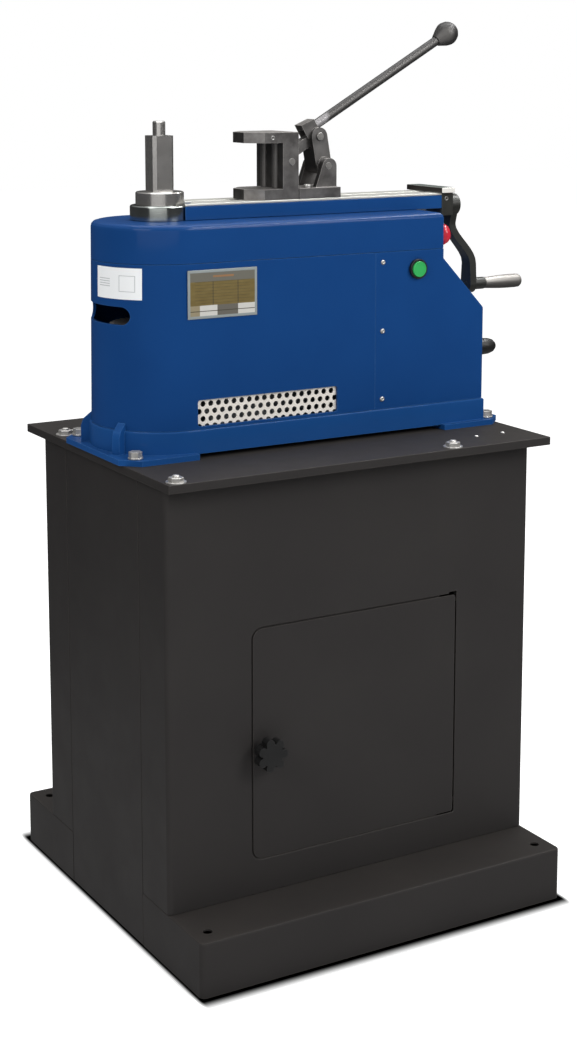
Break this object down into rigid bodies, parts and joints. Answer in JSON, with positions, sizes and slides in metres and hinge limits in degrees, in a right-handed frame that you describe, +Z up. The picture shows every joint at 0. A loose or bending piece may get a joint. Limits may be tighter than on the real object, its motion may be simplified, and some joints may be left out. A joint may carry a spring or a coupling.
{
  "type": "pipe bending machine on cabinet stand",
  "caption": "Powered pipe bending machine with a geared square spindle, screw-fed clamping vice and lever, on a folded sheet cabinet stand with a door.",
  "frame": {"origin": "on the floor, under the middle of the stand", "axes": "+Z up, +X along the machine from the spindle to the crank, -Y towards the door side"},
  "size_m": [0.741, 0.595, 1.2888],
  "materials": {
    "black_paint": "satin",
    "blue_paint": "gloss",
    "bright_steel": "satin",
    "dark_steel": "satin",
    "zinc_plate": "satin",
    "cast_grey": "matte",
    "black_plastic": "matte",
    "green_plastic": "gloss",
    "red_plastic": "gloss",
    "label_plate": "satin",
    "light_mesh": "satin"
  },
  "bodies": {
    "frame": {"base_pan": "black_paint", "front_foot": "black_paint", "back_foot": "black_paint", "front_panel": "black_paint", "back_panel": "black_paint", "left_side_panel": "black_paint", "right_side_panel": "black_paint", "stand_shelf": "black_paint", "top_plate": "black_paint", "base_frame": "blue_paint", "housing_shell": "blue_paint", "top_casting": "blue_paint", "control_cover": "blue_paint", "slideway": "blue_paint", "bearing_ring": "bright_steel", "upper_bearing": "bright_steel", "lower_bearing": "bright_steel", "slide_strip_front": "bright_steel", "slide_strip_back": "bright_steel", "end_bearing_block": "dark_steel", "end_plate": "dark_steel", "door_pivot_lower": "zinc_plate", "door_pivot_upper": "zinc_plate", "frame_bolt_1": "zinc_plate", "frame_bolt_2": "zinc_plate", "frame_bolt_3": "zinc_plate", "frame_bolt_4": "zinc_plate", "gearbox_case": "cast_grey", "motor_case": "cast_grey", "start_bezel": "black_plastic", "stop_collar": "black_plastic", "cable_gland": "black_plastic", "fan_cover": "black_plastic", "nameplate": "label_plate", "vent_grille": "light_mesh"},
    "door": {"door_panel": "black_paint"},
    "latch": {"door_knob": "black_plastic", "latch_cam": "zinc_plate"},
    "spindle": {"spindle": "bright_steel", "spindle_gear": "dark_steel"},
    "pinion": {"drive_pinion": "dark_steel"},
    "carriage": {"carriage": "dark_steel", "leadscrew_nut": "dark_steel", "lever_pivot_pin": "bright_steel"},
    "holder": {"die_holder": "dark_steel", "jaw_bar_front": "bright_steel", "jaw_bar_back": "bright_steel", "link_pin": "bright_steel"},
    "lever": {"clamp_lever": "dark_steel", "boss_pin": "bright_steel", "clamp_bar": "dark_steel", "clamp_knob": "dark_steel"},
    "link": {"toggle_link": "dark_steel"},
    "crank": {"leadscrew": "bright_steel", "crank_arm": "dark_steel", "grip_pin": "bright_steel"},
    "grip": {"crank_grip": "bright_steel"},
    "start": {"start_button": "green_plastic"},
    "stop": {"stop_button": "red_plastic"}
  },
  "joints": [
    {"name": "door_swing", "type": "hinge", "parent": "frame", "child": "door", "pos_m": [0.166, -0.198, 0.296], "axis": [0, 0, 1], "range_deg": [0, 95]},
    {"name": "knob_turn", "type": "hinge", "parent": "door", "child": "latch", "pos_m": [-0.152, -0.2035, 0.288], "axis": [0, -1, 0], "range_deg": [0, 90]},
    {"name": "spindle_turn", "type": "hinge", "parent": "frame", "child": "spindle", "pos_m": [-0.207, -0.01, 0.6883], "axis": [0, 0, 1], "range_deg": [0, 185]},
    {"name": "pinion_spin", "type": "hinge", "parent": "frame", "child": "pinion", "pos_m": [-0.109, -0.01, 0.6883], "axis": [0, 0, 1], "range_deg": [-465, 5]},
    {"name": "carriage_slide", "type": "slide", "parent": "frame", "child": "carriage", "axis": [1, 0, 0], "range_m": [-0.05, 0.12]},
    {"name": "crank_turn", "type": "hinge", "parent": "frame", "child": "crank", "pos_m": [0.27, -0.01, 1.0133], "axis": [1, 0, 0], "range_deg": [-10810, 4510]},
    {"name": "grip_spin", "type": "hinge", "parent": "crank", "child": "grip", "pos_m": [0.39, -0.01, 0.8883], "axis": [1, 0, 0], "continuous": true},
    {"name": "lever_turn", "type": "hinge", "parent": "carriage", "child": "lever", "pos_m": [0.052, -0.01, 1.0803], "axis": [0, -1, 0], "range_deg": [0, 24]},
    {"name": "holder_slide", "type": "slide", "parent": "carriage", "child": "holder", "axis": [-1, 0, 0], "range_m": [0, 0.0199]},
    {"name": "link_swing", "type": "hinge", "parent": "lever", "child": "link", "pos_m": [0.0446, -0.01, 1.1223], "axis": [0, -1, 0], "range_deg": [-30.5, 0]},
    {"name": "start_press", "type": "slide", "parent": "frame", "child": "start", "axis": [0, 1, 0], "range_m": [0, 0.0022], "stiffness_N_per_m": 800, "springref_m": -0.002},
    {"name": "stop_press", "type": "slide", "parent": "frame", "child": "stop", "axis": [-1, 0, 0], "range_m": [0, 0.004], "stiffness_N_per_m": 900, "springref_m": -0.002}
  ],
  "couplings": [
    {"joint": "pinion_spin", "follows": "spindle_turn", "ratio": -2.5},
    {"joint": "crank_turn", "follows": "carriage_slide", "rad_per_m": -1570.8},
    {"joint": "holder_slide", "follows": "lever_turn", "m_per_rad": 0.04715},
    {"joint": "link_swing", "follows": "lever_turn", "ratio": -1.257}
  ]
}
